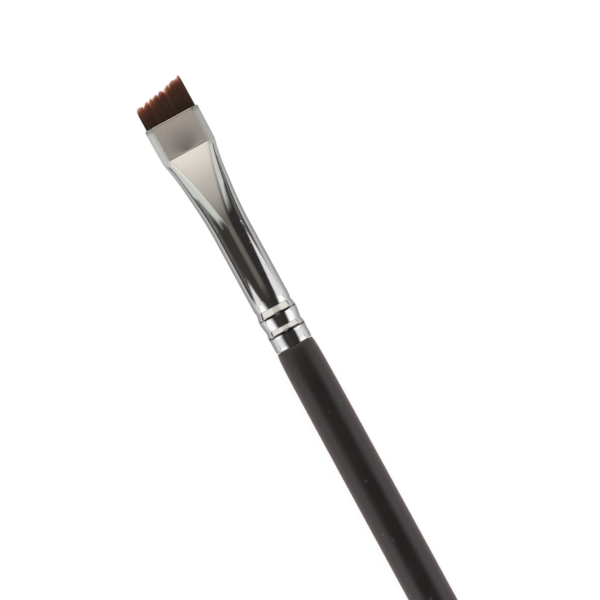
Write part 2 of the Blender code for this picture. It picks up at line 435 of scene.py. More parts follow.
def ferruleHalfSize(behind):
    past = behind - ferrule["flatLength"]
    if past <= 0:
        width = mix(ferrule["mouthHalfWidth"], ferrule["creaseHalfWidth"], behind / ferrule["flatLength"])
        return width, ferrule["flatHalfHeight"]
    tube = tubeRadius(behind)
    flare = math.exp(-((past / ferrule["flareReach"]) ** ferrule["flarePower"]))
    fadeStart, fadeEnd = ferrule["flareFades"]
    flare *= 1 - limit((past - fadeStart) / (fadeEnd - fadeStart)) ** ferrule["flareFadePower"]
    width = tube + (ferrule["creaseHalfWidth"] - tube) * flare
    left = max(0, ferrule["facetLength"] - past)
    straight = ferrule["rampEndSlope"] * ferrule["facetLength"]
    curved = tube - ferrule["flatHalfHeight"] - straight
    ramp = curved * (left / ferrule["facetLength"]) ** ferrule["rampPower"]
    return width, tube - ferrule["rampEndSlope"] * left - ramp


def splitFlats():
    # cuts the two level edges of a ring, top and bottom, so that the panels have corners across them
    bm = shapeInHand()
    heights = [corner.co.z for corner in bm.verts]
    low, top = min(heights), max(heights)
    selectEdges(lambda co: min(top - co.z, co.z - low) < sameColumn)
    bpy.ops.mesh.subdivide(number_cuts=ferrule["panelCuts"])
    selectAll()


def pressRing(x, radius, width, height, panel, corners):
    # a round ring pressed flat: both halves narrowed, moved apart, and their shoulders drawn in
    selectAll("VERT")
    narrowed = (1, (width - panel) / radius, height / radius)
    bpy.ops.transform.resize(value=narrowed, center_override=(x, 0, axisZ))
    for side in (1, -1):
        selectCorners(lambda co: co.y * side > 0)
        bpy.ops.transform.translate(value=(0, panel * side, 0))
    power = ferrule["squareness"]
    for side in (1, -1):
        middle = Vector((x, panel * side, axisZ))
        for column in range(1, corners // 4 + 1):
            angle = 2 * math.pi * column / corners
            across = math.cos(angle) * (width - panel)
            pull = (math.cos(angle) ** power + math.sin(angle) ** power) ** (-1 / power)
            selectCorners(lambda co: abs((co.y - middle.y) * side - across) < sameColumn)
            bpy.ops.transform.resize(value=(1, pull, pull), center_override=middle)


def easeRings(fadedX, creaseX):
    # slides the bridge's rings towards the crease, so that the facet narrows fast first, then slowly
    count = ferrule["facetRings"] + 1
    length = creaseX - fadedX
    for k in range(1, count):
        share = k / count
        place = creaseX - length * share
        goal = creaseX - length * (1 - (1 - share) ** (1 / ferrule["facetEase"]))
        selectCorners(nearX(place))
        bpy.ops.transform.translate(value=(goal - place, 0, 0))


def fitRings(low, high):
    # brings every ring between two places to the width and height that it should have there
    bm = shapeInHand()
    places = {round(corner.co.x, 7) for corner in bm.verts}
    for place in sorted(place for place in places if low + sameRing < place < high - sameRing):
        width, height = ferruleHalfSize(mouthX - place)
        selectCorners(nearX(place))
        bm = shapeInHand()
        chosen = [corner.co for corner in bm.verts if corner.select]
        sideways = width / max(abs(co.y) for co in chosen)
        upright = height / max(abs(co.z - axisZ) for co in chosen)
        bpy.ops.transform.resize(value=(1, sideways, upright), center_override=(place, 0, axisZ))


def pullRings(behind, places):
    # one ring after another down the ferrule
    for place in places:
        width, height = ferruleHalfSize(behind)
        nextWidth, nextHeight = ferruleHalfSize(place)
        stepRing(mouthX - behind, behind - place, nextWidth / width, nextHeight / height)
        behind = place


def dishPanels(creaseX):
    for side in (1, -1):
        selectCorners(
            lambda co: abs(co.x - creaseX) < 2 * ferrule["creaseBevel"]
            and abs(co.y) < ferrule["dishWidth"]
            and (co.z - axisZ) * side > 0
        )
        bpy.ops.transform.translate(
            value=(0, 0, -side * ferrule["dishDepth"]),
            use_proportional_edit=True,
            use_proportional_connected=True,
            proportional_edit_falloff="SHARP",
            proportional_size=ferrule["dishReach"],
        )


def bevelEdges(offset, clamp=False):
    steps = ferrule["bevelSteps"]
    bpy.ops.mesh.bevel(offset=offset, segments=steps, profile=0.5, affect="EDGES", clamp_overlap=clamp)


def easeLip(shell):
    # the outer edge of the mouth's rim is rounded over, so that it catches a thin line of light
    takeUp(shell)
    setMode("EDIT")
    selectEdges(nearX(mouthX), onlyOutside=True)
    bevelEdges(ferrule["lipBevel"], clamp=True)
    setMode("OBJECT")


def makeFerrule():
    radius, corners, crease = ferrule["tubeRadius"], ferrule["corners"], ferrule["flatLength"]
    faded = crease + ferrule["facetLength"]
    creaseX, fadedX = mouthX - crease, mouthX - faded
    # the round end: a circle where the flat has died away, pulled down to the crimped end
    shell = newRing("ferruleShell", fadedX, radius, corners)
    splitFlats()
    width, height = ferruleHalfSize(faded)
    bpy.ops.transform.resize(value=(1, width / radius, height / radius), center_override=(fadedX, 0, axisZ))
    start, end = crimps[0][0] - ferrule["crimpLeadIn"], crimps[-1][0]
    fine = round((end - start) / ferrule["crimpStep"])
    pullRings(faded, evenSteps(faded, start, ferrule["tubeRings"]) + evenSteps(start, end, fine))
    # the pressed end: a ring flattened at the mouth, pulled back to the crease
    mouth = newRing("ferruleMouth", mouthX, radius, corners)
    width, height = ferruleHalfSize(0)
    pressRing(mouthX, radius, width, height, ferrule["mouthPanel"], corners)
    splitFlats()
    pullRings(0, evenSteps(0, crease, ferrule["flatRings"]))
    # the two are joined, and the bridge between them leaves the flat facets
    takeUp(shell)
    mouth.select_set(True)
    bpy.ops.object.join()
    setMode("EDIT")
    selectEdges(nearX(creaseX, fadedX))
    bpy.ops.mesh.bridge_edge_loops(type="SINGLE", number_cuts=ferrule["facetRings"], interpolation="LINEAR")
    easeRings(fadedX, creaseX)
    fitRings(fadedX, creaseX)
    selectEdges(nearX(fadedX))
    bpy.ops.mesh.mark_sharp()  # the facet ends in a faint line
    selectEdges(nearX(creaseX))
    bevelEdges(ferrule["creaseBevel"])
    dishPanels(creaseX)
    closeShape()
    applyModifier(shell, "SOLIDIFY", thickness=ferrule["wall"], offset=-1, use_even_offset=True)
    easeLip(shell)
    smoothUnder(ferrule["smoothAngle"])
    # wide flat faces keep their own direction, so that the chrome mirrors evenly up to their edges
    applyModifier(shell, "WEIGHTED_NORMAL", keep_sharp=True)
    return shell


chrome = {
    "tints": ((0.77, 0.76, 0.75), (0.82, 0.81, 0.80)),
    "mottleSize": 240.0,
    "scuffs": 0.35,
    "specks": {"Spacing": 2600.0, "Share": 0.035},
    "roughness": (0.02, 0.02),  # how much the cloudy places add, and what there is everywhere
    "markRoughness": 0.2,
    "relief": (0.1, 0.000002),  # how strong and how deep its marks are
    "pressedFrom": (0.00332, 0.00341),  # how far out from the middle the dulled edges start
    "pressedFade": 0.0012,
    "pressedRoughness": 0.36,
    "pressedMatt": 0.45,  # how far those edges have lost their shine
    "paintedShadePressedColors": ((0.66, 0.655, 0.635), (0.50, 0.49, 0.47)),  # on the +Y side, and darker on the -Y side as painted shade
    "mouthCornerShade": (0.0010, 0.0002),  # painted shade at both corners of the mouth: from where, and where it is full
    "cornerShadeSpots": {"Size": 1900.0, "Low": 0.25},
    # a thin line of painted shade beside each crimp: place behind the mouth, half width
    "grooves": ((0.03462, 0.00011), (0.03770, 0.00017)),
    "grooveShadeEdges": (1.5, 0.5),  # where its edge starts and ends, in half widths
    "grooveShadeWander": {"Size": 1500.0, "Low": -0.00006, "High": 0.00006},
    "paintedShadeColor": (0.17, 0.16, 0.155),
}


def makeChromeMaterial():
    material, tree, shader, coords = newMaterial("chrome")
    x, y = splitAxes(tree, coords)[:2]
    cloudy = addGroup(tree, mottleGroup, coords, Size=chrome["mottleSize"])
    scuffs = addGroup(tree, scuffGroup, coords, Amount=chrome["scuffs"])
    specks = addGroup(tree, speckGroup, coords, **chrome["specks"])
    marks = mathNode(tree, "MAXIMUM", scuffs, specks)
    worn = mathNode(tree, "MULTIPLY_ADD", cloudy, *chrome["roughness"])
    rough = mathNode(tree, "MULTIPLY_ADD", marks, chrome["markRoughness"], worn)
    # the press has dulled both edges of the flat mouth, and the -Y edge is coloured darker than the +Y edge
    # as painted shade
    creaseX = mouthX - ferrule["flatLength"]
    pressed = stepNode(tree, mathNode(tree, "ABSOLUTE", y), chrome["pressedFrom"])
    inMouth = stepNode(tree, x, (creaseX - chrome["pressedFade"], creaseX))
    dull = multiply(tree, pressed, inMouth)
    side = mathNode(tree, "LESS_THAN", y, 0.0)
    # painted shade: a darker colour on the -Y edge than on the +Y edge
    paintedShadePressedColor = layerNode(tree, side, *chrome["paintedShadePressedColors"])
    color = layerNode(tree, dull, tintNode(tree, cloudy, chrome["tints"]), paintedShadePressedColor)
    # painted shade at the corners of the mouth and in the fine groove beside each crimp, its edges uneven
    corner = stepNode(tree, x, [mouthX - behind for behind in chrome["mouthCornerShade"]])
    spots = addGroup(tree, mottleGroup, coords, **chrome["cornerShadeSpots"])
    # painted shade at the mouth's corners, broken into spots, on the dulled edges only
    color = layerNode(tree, multiply(tree, corner, spots, dull), color, chrome["paintedShadeColor"])
    place = mathNode(tree, "ADD", x, addGroup(tree, mottleGroup, coords, **chrome["grooveShadeWander"]))
    # each groove gets a thin line of painted shade, in the painted shade colour
    for behind, halfWidth in chrome["grooves"]:
        away = mathNode(tree, "ABSOLUTE", mathNode(tree, "SUBTRACT", place, mouthX - behind))
        grooveShade = stepNode(tree, away, [halfWidth * edge for edge in chrome["grooveShadeEdges"]])
        color = layerNode(tree, grooveShade, color, chrome["paintedShadeColor"])
    inputs = {
        "Base Color": color,
        "Roughness": mathNode(tree, "ADD", rough, multiply(tree, dull, chrome["pressedRoughness"])),
        "Metallic": mathNode(tree, "SUBTRACT", 1.0, multiply(tree, dull, chrome["pressedMatt"])),
        "Normal": reliefNode(tree, marks, *chrome["relief"]),
    }
    fillIn(tree, shader, inputs)
    return material


ferruleShell = makeFerrule()
finishPiece(ferruleShell, "ferrule", makeChromeMaterial())
print("ferrule made,", len(ferruleShell.data.polygons), "faces")


handle = {
    "corners": 96,
    "length": 0.1300,
    "buttGap": 0.0001,
    "shoulderRadius": 0.00296,
    "shoulderReach": 0.00135,
    "shoulderPower": 0.6,
    "shoulderEdge": (0.00002, 0.00012),  # the step up to it from the tenon: how long, and how much lower
    # places behind the shoulder, close together where it is rounded over
    "shoulderRings": (
        0.00003, 0.00008, 0.00016, 0.0003, 0.0005, 0.00075, 0.00105,
        0.0014, 0.0019, 0.0026, 0.0035, 0.0047, 0.0063, 0.0085,
    ),
    "bodyStart": 0.0115,
    "bodyRings": 44,
    "neckRadius": 0.00334,
    "gripRadius": 0.00338,
    "gripPlace": 0.0450,
    "taperStart": 0.0550,
    "tailRadius": 0.0021,
    "tailRound": 0.0018,
    "tailRings": 12,
    "taperPower": 1.25,
    "tenonLength": 0.0150,
    "tenonRadius": 0.00244,
    "tenonChamfer": 0.0004,
    "smoothAngle": 45,
}


def handleRadius(behind):
    body = mix(handle["neckRadius"], handle["gripRadius"], softStep(behind / handle["gripPlace"]))
    past = max(0, behind - handle["taperStart"]) / (handle["length"] - handle["taperStart"])
    body = mix(body, handle["tailRadius"], past ** handle["taperPower"])
    drop = handle["neckRadius"] - handle["shoulderRadius"]
    return body - drop * math.exp(-((behind / handle["shoulderReach"]) ** handle["shoulderPower"]))


def handleOutline():
    # (x, radius) from the tenon's front to the tail
    shoulderX = handleHigh.x - handle["tenonLength"] - handle["buttGap"]
    edgeLength, edgeDrop = handle["shoulderEdge"]
    points = [
        (handleHigh.x, handle["tenonRadius"] - handle["tenonChamfer"]),
        (handleHigh.x - handle["tenonChamfer"], handle["tenonRadius"]),
        (shoulderX + edgeLength, handle["tenonRadius"]),
        (shoulderX, handle["shoulderRadius"] - edgeDrop),
    ]
    tail = handle["length"] - handle["tailRound"]
    body = [handle["bodyStart"]] + evenSteps(handle["bodyStart"], tail, handle["bodyRings"])
    points += [(shoulderX - place, handleRadius(place)) for place in [*handle["shoulderRings"], *body]]
    for step in range(1, handle["tailRings"]):
        angle = math.pi / 2 * step / handle["tailRings"]
        x = shoulderX - tail - handle["tailRound"] * math.sin(angle)
        points.append((x, handleRadius(tail) * math.cos(angle)))
    return points


def makeHandle():
    (x, radius), *rest = handleOutline()
    body = newRing("handleBody", x, radius, handle["corners"])
    bpy.ops.mesh.edge_face_add()  # the tenon's front
    for nextX, nextRadius in rest:
        # only the newest ring is carried on, so that the tenon's front stays behind
        selectEdges(nearX(x))
        x = stepRing(x, nextX - x, nextRadius / radius, nextRadius / radius)
        radius = nextRadius
    bpy.ops.mesh.edge_face_add()
    bpy.ops.mesh.poke()
    closeShape()
    smoothUnder(handle["smoothAngle"])
    return body


lacquer = {
    "tints": ((0.0072, 0.0054, 0.0051), (0.0092, 0.0070, 0.0066)),
    "mottleSize": 160.0,
    "grainSize": 9000.0,
    "relief": (0.25, 0.000008),
    "specks": {"Spacing": 1400.0, "Share": 0.012},
    "dust": (0.05, 0.047, 0.045),
    "roughness": (0.05, 0.31),
    "shine": {
        "Sheen Weight": 0.38,
        "Sheen Roughness": 0.45,
        "Sheen Tint": (1.0, 0.68, 0.66),
        "Specular IOR Level": 0.66,
    },
}


def makeLacquerMaterial():
    material, tree, shader, coords = newMaterial("blackLacquer")
    cloudy = addGroup(tree, mottleGroup, coords, Size=lacquer["mottleSize"])
    grain = addGroup(tree, mottleGroup, coords, Size=lacquer["grainSize"])
    specks = addGroup(tree, speckGroup, coords, **lacquer["specks"])
    inputs = {
        "Base Color": layerNode(tree, specks, tintNode(tree, cloudy, lacquer["tints"]), lacquer["dust"]),
        "Roughness": mathNode(tree, "MULTIPLY_ADD", cloudy, *lacquer["roughness"]),
        "Normal": reliefNode(tree, grain, *lacquer["relief"]),
    }
    fillIn(tree, shader, {**inputs, **lacquer["shine"]})
    return material


handleBody = makeHandle()
finishPiece(handleBody, "handle", makeLacquerMaterial())
print("handle made,", len(handleBody.data.polygons), "faces")


bristles = {
    "seed": 11,
    "pitch": 0.000082,
    "jitter": 0.22,
    "radius": 0.000038,
    "radiusSpread": (0.88, 1.08),
    "tipRadius": 0.000009,
    "taper": 0.0009,  # how far back from its tip a filament starts to thin
    "taperPower": 0.8,
    "sides": 5,
    "stations": (0.0015, 0.0008, 0.00045, 0.0002, 0.0),  # its bends, counted back from its tip
    "halfWidth": 0.00428,
    "halfHeight": 0.00048,
    "panel": 0.0030,
    "squareness": 1.5,
    "tipThinning": 0.85,
    "tipScatter": (0.000016, 0.00002),  # across and up
    "longLength": 0.00560,
    "shortLength": 0.00384,
    "rootDepth": 0.0009,
    "clumpWidth": 0.00105,
    "clumpStart": (0.1, 0.9),
    "clumpSpread": (0.55, 1.5),  # the narrowest and the widest clump, as shares of that
    "clumpLean": 0.3,
    "clumpReach": 0.0007,  # how far back from its tips a clump draws together
    "clumpBend": 1.5,
    "clumpPull": 0.13,
    "pullSpread": (0.7, 1.1),
    "clumpDrop": 0.00028,
    "clumpSink": 0.35,  # how much of that drop a whole clump takes
    "clumpRound": 1.6,
    "edgeFade": (0.25, 8),  # the share of a drop left at both ends of the cut, and how fast it grows inwards
    "lockWidth": 0.00034,  # each clump is made of locks, other ones in each layer
    "lockLayer": 0.00020,
    "lockPull": 0.30,
    "lockDrop": 0.00018,
    "strayDrop": 0.00048,
    "bandWidth": 0.0002,
    "bandSpan": 2.4,  # all the bands together, in half widths of the tuft
    "bandStart": 1.1,  # and how far out from the middle the first one starts
    "shadeMix": (0.5, 0.6),  # how much of a shade is its lock's and not its band's, and both of theirs
    "dyeReach": (0.30, 1.30),  # some locks are dyed further back than others
    "dyeMix": 0.4,
}


def makeFilament():
    # one filament, a unit thick and a unit long between its bends: a small circle pulled out step by step
    filament = newRing("filament", 0, 1, bristles["sides"], z=0, fill="NGON")
    selectAll("FACE")
    for station in bristles["stations"]:
        bpy.ops.mesh.extrude_region_move(TRANSFORM_OT_translate={"value": (1, 0, 0)})
    selectAll("FACE")
    bpy.ops.mesh.normals_make_consistent(inside=False)
    setMode("OBJECT")
    bpy.ops.object.shade_smooth()
    return filament


def clumpEdges(rng, width):
    # places across the tuft where one clump of tips ends and the next starts
    edges = [-bristles["halfWidth"] - rng.uniform(*bristles["clumpStart"]) * width]
    while edges[-1] < bristles["halfWidth"] + width:
        edges.append(edges[-1] + width * rng.uniform(*bristles["clumpSpread"]))
    return edges


def findClump(edges, across):
    # the clump that a filament belongs to: its number, its middle and half its width
    clump = max(k for k, edge in enumerate(edges) if edge <= across)
    low, high = edges[clump], edges[clump + 1]
    return clump, (low + high) / 2, (high - low) / 2


def tuftHalfHeight(across):
    past = (abs(across) - bristles["panel"]) / (bristles["halfWidth"] - bristles["panel"])
    power = bristles["squareness"]
    return bristles["halfHeight"] * (1 - limit(past) ** power) ** (1 / power)


def filamentSpots(rng):
    width, height, pitch = bristles["halfWidth"], bristles["halfHeight"], bristles["pitch"]
    rowPitch = pitch * math.sqrt(3) / 2
    rows = int(2 * height / rowPitch) + 1
    columns = int(width / pitch) + 1
    spread = pitch * bristles["jitter"]
    spots = []
    for row in range(rows):
        up = (row - (rows - 1) / 2) * rowPitch
        for column in range(-columns, columns + 1):
            across = (column + (row % 2) / 2) * pitch
            if abs(across) < width and abs(up) <= tuftHalfHeight(across) + pitch / 4:
                spots.append((across + rng.uniform(-1, 1) * spread, up + rng.uniform(-1, 1) * spread))
    return spots


def bendFilament(base, root, tip, pull, thickness, turn, shade, dyed):
    # a copy of the filament with its own mesh, drawn towards its clump over the last stretch
    mesh = base.data.copy()
    fromTip = mesh.attributes.new("fromTip", "FLOAT", "POINT")
    streak = mesh.attributes.new("streak", "FLOAT", "POINT")
    cosTurn, sinTurn = math.cos(turn), math.sin(turn)
    backs = (tip.x - root.x,) + bristles["stations"]
    for index, corner in enumerate(mesh.vertices):
        back = backs[min(len(backs) - 1, max(0, round(corner.co.x)))]
        along = 1 - back / backs[0]
        drawn = pull * max(0, 1 - back / bristles["clumpReach"]) ** bristles["clumpBend"]
        thinned = min(1, back / bristles["taper"]) ** bristles["taperPower"]
        radius = mix(bristles["tipRadius"], thickness, thinned)
        across = corner.co.y * cosTurn - corner.co.z * sinTurn
        up = corner.co.y * sinTurn + corner.co.z * cosTurn
        y = mix(root.y, tip.y, along) + drawn + radius * across
        z = mix(root.z, tip.z, along) + radius * up
        corner.co = Vector((tip.x - back, y, z))
        fromTip.data[index].value = back * 1000 * dyed  # millimetres, fewer where the dye reaches further
        streak.data[index].value = shade
    return mesh


def makeBristles():
    rng = random.Random(bristles["seed"])
    base = makeFilament()
    halfWidth, halfHeight, layer = bristles["halfWidth"], bristles["halfHeight"], bristles["lockLayer"]
    most = bristles["clumpLean"]
    least, growth = bristles["edgeFade"]
    edges = clumpEdges(rng, bristles["clumpWidth"])
    clumps = [(rng.uniform(0, 1), rng.uniform(-most, most)) for edge in edges]
    lockEdges = [clumpEdges(rng, bristles["lockWidth"]) for k in range(int(2 * halfHeight / layer) + 2)]
    lockShares = [[rng.uniform(0, 1) for edge in row] for row in lockEdges]
    bands = [rng.random() for k in range(int(bristles["bandSpan"] * halfWidth / bristles["bandWidth"]))]
    copies = []
    for across, up in filamentSpots(rng):
        clump, middle, half = findClump(edges, across)
        sink, lean = clumps[clump]
        middle += lean * half
        offCentre = min(1, abs(across - middle) / half)
        row = int((up + halfHeight + layer / 2) / layer)
        lock, lockMiddle, lockHalf = findClump(lockEdges[row], across)
        lockShare = lockShares[row][lock]
        offLock = abs(across - lockMiddle) / lockHalf
        towardShort = (across + halfWidth) / (2 * halfWidth)
        fade = min(1, max(least, growth * towardShort), max(least, growth * (1 - towardShort)))
        clumped = sink * bristles["clumpSink"] + offCentre ** bristles["clumpRound"]
        drop = bristles["clumpDrop"] * clumped * fade
        drop += bristles["lockDrop"] * (lockShare + offLock**2) * fade
        drop += bristles["strayDrop"] * rng.random() ** 2
        pull = (middle - across) * bristles["clumpPull"] + (lockMiddle - across) * bristles["lockPull"]
        pull *= rng.uniform(*bristles["pullSpread"]) * fade
        root = Vector((mouthX - bristles["rootDepth"], across, axisZ + up))
        tipX = mouthX + mix(bristles["longLength"], bristles["shortLength"], towardShort) - drop
        tipY, tipUp = (rng.gauss(0, scatter) for scatter in bristles["tipScatter"])
        tip = Vector((tipX, across + tipY, axisZ + up * bristles["tipThinning"] + tipUp))
        thickness = bristles["radius"] * rng.uniform(*bristles["radiusSpread"])
        byLock, byBoth = bristles["shadeMix"]
        band = bands[int((across + bristles["bandStart"] * halfWidth) / bristles["bandWidth"])]
        shade = mix(rng.random(), mix(band, lockShare, byLock), byBoth)
        dyed = mix(*bristles["dyeReach"], mix(lean + 0.5, lockShare, bristles["dyeMix"]))
        mesh = bendFilament(base, root, tip, pull, thickness, rng.uniform(0, math.tau), shade, dyed)
        copy = bpy.data.objects.new("filament", mesh)
        bpy.context.scene.collection.objects.link(copy)
        copies.append(copy)
    print("filaments:", len(copies))
    bpy.data.objects.remove(base)
    takeUp(copies[0])
    for copy in copies:
        copy.select_set(True)
    bpy.ops.object.join()
    tuft = bpy.context.object
    tuft.name = "bristles"
    tuft.data.name = "bristles"
    return tuft


filamentLook = {
    "dyedLength": 2.5,  # millimetres back from the tip
    "dye": [
        (0.0, (0.72, 0.36, 0.23)),
        (0.08, (0.40, 0.130, 0.072)),
        (0.18, (0.165, 0.044, 0.024)),
        (0.32, (0.082, 0.026, 0.0140)),
        (0.52, (0.051, 0.0215, 0.0130)),
        (1.0, (0.0445, 0.0222, 0.0141)),
    ],
    "streaks": (0.62, 1.45),
    "specular": 0.3,
    "roughness": {"Size": 2500.0, "Low": 0.34, "High": 0.5},
}


def makeBristleMaterial():
    material, tree, shader, coords = newMaterial("brownFilament")
    fromTip = addNode(tree, "Attribute", attribute_name="fromTip").outputs["Fac"]
    streak = addNode(tree, "Attribute", attribute_name="streak").outputs["Fac"]
    dye = rampNode(tree, rangeNode(tree, fromTip, 0.0, filamentLook["dyedLength"]), filamentLook["dye"])
    depth = rangeNode(tree, streak, 0.0, 1.0, *filamentLook["streaks"])
    inputs = {
        "Base Color": layerNode(tree, 1.0, dye, depth, blend="MULTIPLY"),
        "Specular IOR Level": filamentLook["specular"],
        "Roughness": addGroup(tree, mottleGroup, coords, **filamentLook["roughness"]),
    }
    fillIn(tree, shader, inputs)
    return material


rootSlice = {
    "corners": 62,
    "recess": 0.0005,
    "depth": 0.0048,
    "halfWidth": 0.00422,
    "halfHeight": 0.00050,
    "panel": 0.0030,
    "rimWidth": 0.00006,
    "rimHeight": 0.00003,
    "narrowing": (0.985, 0.975, 0.965),
    "smoothAngle": 40,
    "endSize": 11000.0,
    "endTints": [(0.0, (0.020, 0.010, 0.007)), (0.6, (0.010, 0.006, 0.004))],
    "roughness": {"Size": 4000.0, "Low": 0.3, "High": 0.5},
}


def makeRootSlice():
    # the bonded roots behind the mouth: pressed like the ferrule, and narrowed as it narrows
    front = mouthX - rootSlice["recess"]
    height, corners = rootSlice["halfHeight"], rootSlice["corners"]
    piece = newRing("bristleRoots", front, height, corners)
    pressRing(front, height, rootSlice["halfWidth"], height, rootSlice["panel"], corners)
    selectAll()
    bpy.ops.mesh.edge_face_add()
    bpy.ops.mesh.inset(thickness=rootSlice["rimWidth"], depth=rootSlice["rimHeight"])
    selectEdges(nearX(front))
    x = front
    for sideways in rootSlice["narrowing"]:
        x = stepRing(x, -rootSlice["depth"] / len(rootSlice["narrowing"]), sideways, 1.0)
    bpy.ops.mesh.edge_face_add()
    closeShape()
    smoothUnder(rootSlice["smoothAngle"])
    return piece


def makeRootMaterial():
    material, tree, shader, coords = newMaterial("bondedRoots")
    ends = addNode(tree, "TexVoronoi", {"Vector": coords, "Scale": rootSlice["endSize"]})
    inputs = {
        "Base Color": rampNode(tree, ends.outputs["Distance"], rootSlice["endTints"]),
        "Roughness": addGroup(tree, mottleGroup, coords, **rootSlice["roughness"]),
    }
    fillIn(tree, shader, inputs)
    return material


tuftPiece = makeBristles()
finishPiece(tuftPiece, "bristle_tuft", makeBristleMaterial())
rootPiece = makeRootSlice()
finishPiece(rootPiece, "bristle_tuft", makeRootMaterial())
print("tuft made,", len(tuftPiece.data.polygons), "faces")


glue = {
    "tints": {
        "root_glue": ((0.45, 0.32, 0.15), (0.62, 0.49, 0.27)),
        "tenon_glue": ((0.52, 0.44, 0.28), (0.66, 0.58, 0.41)),
    },
    "roughness": {"root_glue": (0.15, 0.22), "tenon_glue": (0.15, 0.3)},
    "mottleSize": 900.0,
    "bubbles": {"Spacing": 3200.0, "Share": 0.12},
    "relief": (0.5, 0.00005),
}


def makeGlueMaterial(name):
    # cast resin: cloudy, with small bubbles
    material, tree, shader, coords = newMaterial(name)
    cloudy = addGroup(tree, mottleGroup, coords, Size=glue["mottleSize"])
    bubbles = addGroup(tree, speckGroup, coords, **glue["bubbles"])
    inputs = {
        "Base Color": tintNode(tree, cloudy, glue["tints"][name]),
        "Roughness": mathNode(tree, "MULTIPLY_ADD", cloudy, *glue["roughness"][name]),
        "Normal": reliefNode(tree, bubbles, *glue["relief"], invert=True),
    }
    fillIn(tree, shader, inputs)
    return material


for name in glue["tints"]:
    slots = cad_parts[name].data.materials
    slots.clear()
    slots.append(makeGlueMaterial(name))
print("glue finished")


studio = {
    "floorSize": 4.0,
    "floorGap": 0.00002,
    "floorColor": (0.86, 0.86, 0.86),
    "floorGlow": 0.86,  # how much of the floor's white comes from its own level
    "floorLevel": 1.06,  # that level, seen directly
    "mirroredLevel": 0.64,  # and seen in the chrome, a little way from the brush, as painted reflection
    "paintedShadeLevel": 0.33,  # and close beside the brush, as painted shade that only the chrome mirrors
    "paintedShadeReach": (0.005, 0.0145),
    "farLevel": 0.82,  # further out it is painted paler beside the handle and darker beside the tip, for the chrome to mirror
    "farPaintedDark": 0.05,
    "farReach": ((0.0170, 0.0240), (0.0180, 0.0250)),  # on the +Y and on the -Y side
    "farTurns": (0.0515, 0.0575),  # where along the brush, on the same two sides
    "farSoftness": (0.0012, 0.0065),
    "farAgain": 0.62,  # and paler again past the brush's tip
    "farAgainFrom": (0.0725, 0.0750),
    "lampSize": 1.1,
    "lampPlace": (0.1, -0.15, 1.3),
    "lampTurn": (-6, 4),  # degrees about X and Y
    "lampPower": 11.0,
    # all the following angles are in degrees: across the brush they count from straight up,
    # and along it from straight up towards the tip
    "gloom": (0.034, 0.031, 0.030),
    "gloomFar": (0.046, 0.041, 0.037),  # the +Y side is a little less dark
    "gloomAcross": (-8, 6),
    "horizon": (0.14, 0.13, 0.125),
    "horizonAcross": (65, 90),
    "strip": (0.163, 0.150, 0.131),  # a dim opening overhead
    "stripAcross": (6, 22),
    "stripAlong": (0.42, 0.66),
    "slit": (0.44, 0.392, 0.36),  # and a brighter slit in it, which only the level flats mirror
    "slitAcross": (5, 14),
    "slitStarts": (1.4, 4.4),
    "slitEnds": (5.5, 7.0),
    "card": (0.95, 0.89, 0.82),  # a warm card towards the tip
    "cardAlong": (11.2, 33),
    "wing": (0.70, 0.735, 0.70),  # its two wings, cooler low down
    "wingTop": (0.94, 0.92, 0.86),
    "wingTopAlong": (11, 22),
    # each wing: across from where; how softly it starts along the brush; where it starts there;
    # and two stretches across over which that start comes closer, each with by how much
    "nearWing": ((18, 42), 3.5, 7.8, ((30, 62), 3.6), ((62, 90), 0.0)),
    "farWing": ((6, 24), 2.6, 7.4, ((24, 46), 3.0), ((58, 84), 2.7)),
    "walls": (0.92, 0.925, 0.94),  # white walls at both sides
    "wallsFront": (1.2, 1.2, 1.23),  # brighter towards the handle
    "wallsTurn": (-1.2, 0.35),
    "wallsBack": (-36, -30),
    "wallsSoftness": 0.06,
    "gapAcross": (84, 88),  # a dark gap at the foot of the walls, beside the flat part of the brush
    "gapStarts": (-9.0, -8.0),
    "gapEnds": (-0.3, 0.0),
    # each wall: how far it reaches towards the tip, then where across it rises to that, falls
    # from that, begins and ends
    "nearWall": (1.72, (39.5, 76), (80, 107.7), (36, 55), (100, 110)),
    "farWall": (0.82, (31.0, 65.2), (65.2, 109.6), (28, 60), (100, 110)),
}


